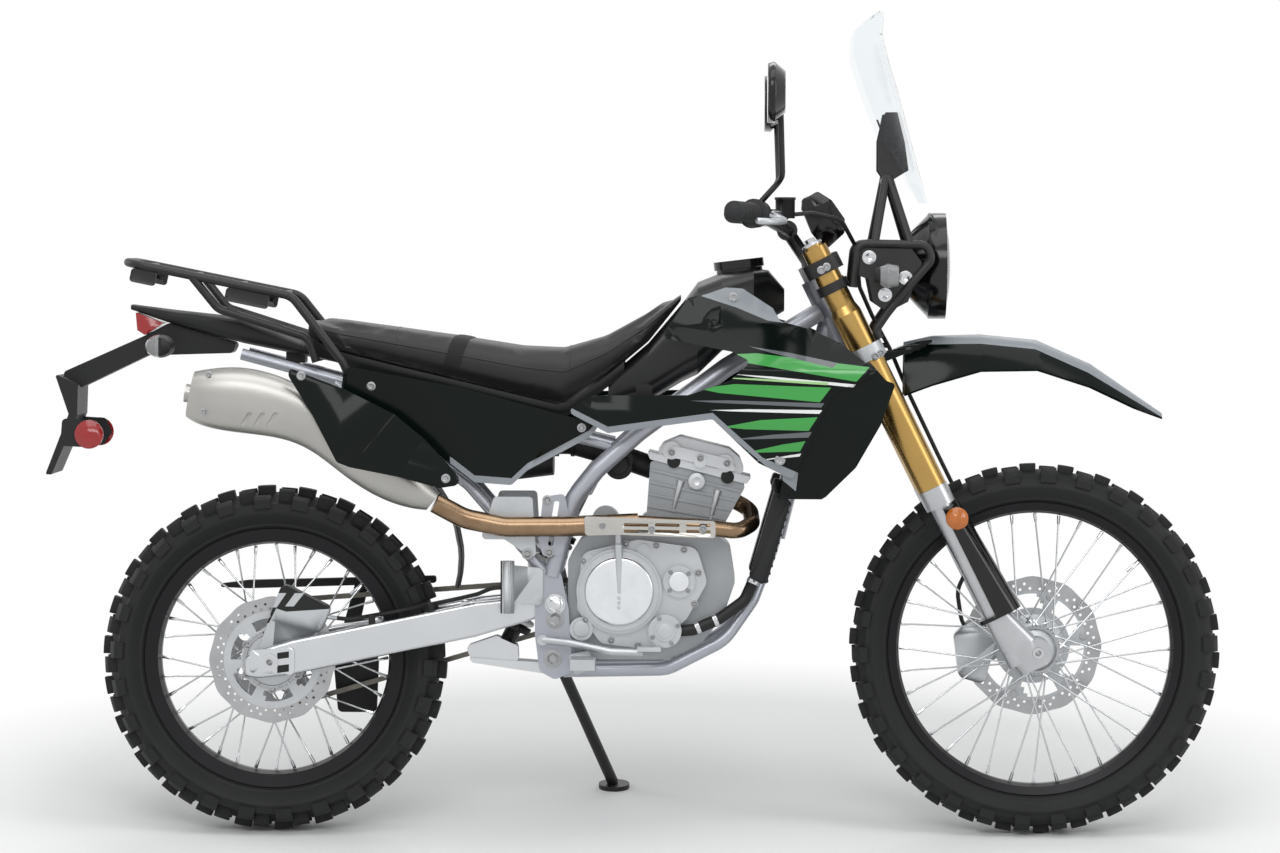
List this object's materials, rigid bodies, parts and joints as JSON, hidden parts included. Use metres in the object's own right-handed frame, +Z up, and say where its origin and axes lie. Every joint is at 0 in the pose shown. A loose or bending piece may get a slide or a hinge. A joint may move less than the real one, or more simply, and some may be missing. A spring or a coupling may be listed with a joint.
{
  "type": "dual sport motorcycle",
  "caption": "Light dual sport motorcycle leaning on its side stand: knobby tyres, wire wheels, long fork, round headlamp, tall screen and rear rack.",
  "frame": {"origin": "middle of the parked bounding box, on the floor under the tyres and the stand foot", "axes": "+X forward, +Y to the rider's left, +Z up; the motorcycle leans 10 degrees towards +Y on its side stand"},
  "size_m": [2.2162, 0.8748, 1.5363],
  "materials": {
    "axle_steel": "zinc plated",
    "black_metal": "powder coated",
    "black_plastic": "moulded",
    "chain_steel": "oiled",
    "clear_lens": "clear",
    "cover_alloy": "cast",
    "disc_steel": "ground",
    "engine_alloy": "cast and painted",
    "exhaust_steel": "heat tinted",
    "fork_gold": "gold anodised",
    "fork_steel": "ground and cast",
    "frame_paint": "silver enamel",
    "gloss_plastic": "moulded gloss",
    "grey_plastic": "moulded",
    "hub_alloy": "cast",
    "lamp_housing": "moulded",
    "muffler_steel": "dark metal",
    "rim_black": "black anodised",
    "rubber_grip": "moulded rubber",
    "seat_vinyl": "vinyl",
    "shock_white": "coated spring",
    "shroud_plastic": "moulded gloss",
    "signal_lens": "moulded lens",
    "spoke_steel": "plated",
    "sprocket_steel": "machined",
    "swingarm_alloy": "polished",
    "tank_paint": "gloss",
    "tyre_rubber": "knobbed rubber"
  },
  "bodies": {
    "chassis": {"front_sprocket": "sprocket_steel", "drive_chain": "chain_steel", "rear_axle": "axle_steel", "frame": "frame_paint", "swingarm": "swingarm_alloy", "rear_shock": "shock_white", "shock_linkage": "swingarm_alloy", "crankcase": "engine_alloy", "cylinder_head": "engine_alloy", "engine_covers": "cover_alloy", "radiators": "black_plastic", "intake": "black_plastic", "exhaust_pipe": "exhaust_steel", "muffler": "muffler_steel", "exhaust_guards": "muffler_steel", "seat": "seat_vinyl", "fuel_tank": "tank_paint", "fuel_cap": "black_metal", "tank_shrouds": "shroud_plastic", "side_covers": "gloss_plastic", "rear_fender": "black_plastic", "plate_bracket": "black_plastic", "rear_lamps": "signal_lens", "luggage_rack": "black_metal", "footpegs": "black_metal", "foot_levers": "black_metal", "rear_brake": "hub_alloy", "chain_guards": "black_plastic"},
    "steering": {"front_axle": "axle_steel", "fork_uppers": "fork_gold", "fork_lowers": "fork_steel", "fork_clamps": "hub_alloy", "fork_guards": "black_plastic", "front_fender": "grey_plastic", "front_caliper": "hub_alloy", "handlebar": "black_metal", "hand_controls": "rubber_grip", "front_brake_hose": "rubber_grip", "mirrors": "black_plastic", "instrument_panel": "black_plastic", "headlamp": "lamp_housing", "headlamp_lens": "clear_lens", "windscreen": "clear_lens", "lamp_bracket": "black_metal", "front_signals": "signal_lens"},
    "front_wheel": {"front_tyre": "tyre_rubber", "front_rim": "rim_black", "front_hub": "hub_alloy", "front_spokes": "spoke_steel", "front_disc": "disc_steel"},
    "rear_wheel": {"rear_tyre": "tyre_rubber", "rear_rim": "rim_black", "rear_hub": "hub_alloy", "rear_spokes": "spoke_steel", "rear_disc": "disc_steel", "rear_sprocket": "sprocket_steel"},
    "stand": {"side_stand": "black_metal"}
  },
  "joints": [
    {"name": "rear_wheel_spin", "type": "hinge", "parent": "chassis", "child": "rear_wheel", "pos_m": [-0.683, -0.17813, 0.32344], "axis": [0, 0.9848, -0.1736], "continuous": true},
    {"name": "steering", "type": "hinge", "parent": "chassis", "child": "steering", "pos_m": [0.334, -0.05024, 1.04875], "axis": [-0.4462, 0.1554, 0.8813], "range_deg": [-43, 43]},
    {"name": "front_wheel_spin", "type": "hinge", "parent": "steering", "child": "front_wheel", "pos_m": [0.75653, -0.17405, 0.34658], "axis": [0, 0.9848, -0.1736], "continuous": true},
    {"name": "side_stand", "type": "hinge", "parent": "chassis", "child": "stand", "pos_m": [-0.155, -0.0422, 0.29388], "axis": [-0.1681, 0.9841, -0.0578], "range_deg": [0, 118]}
  ]
}
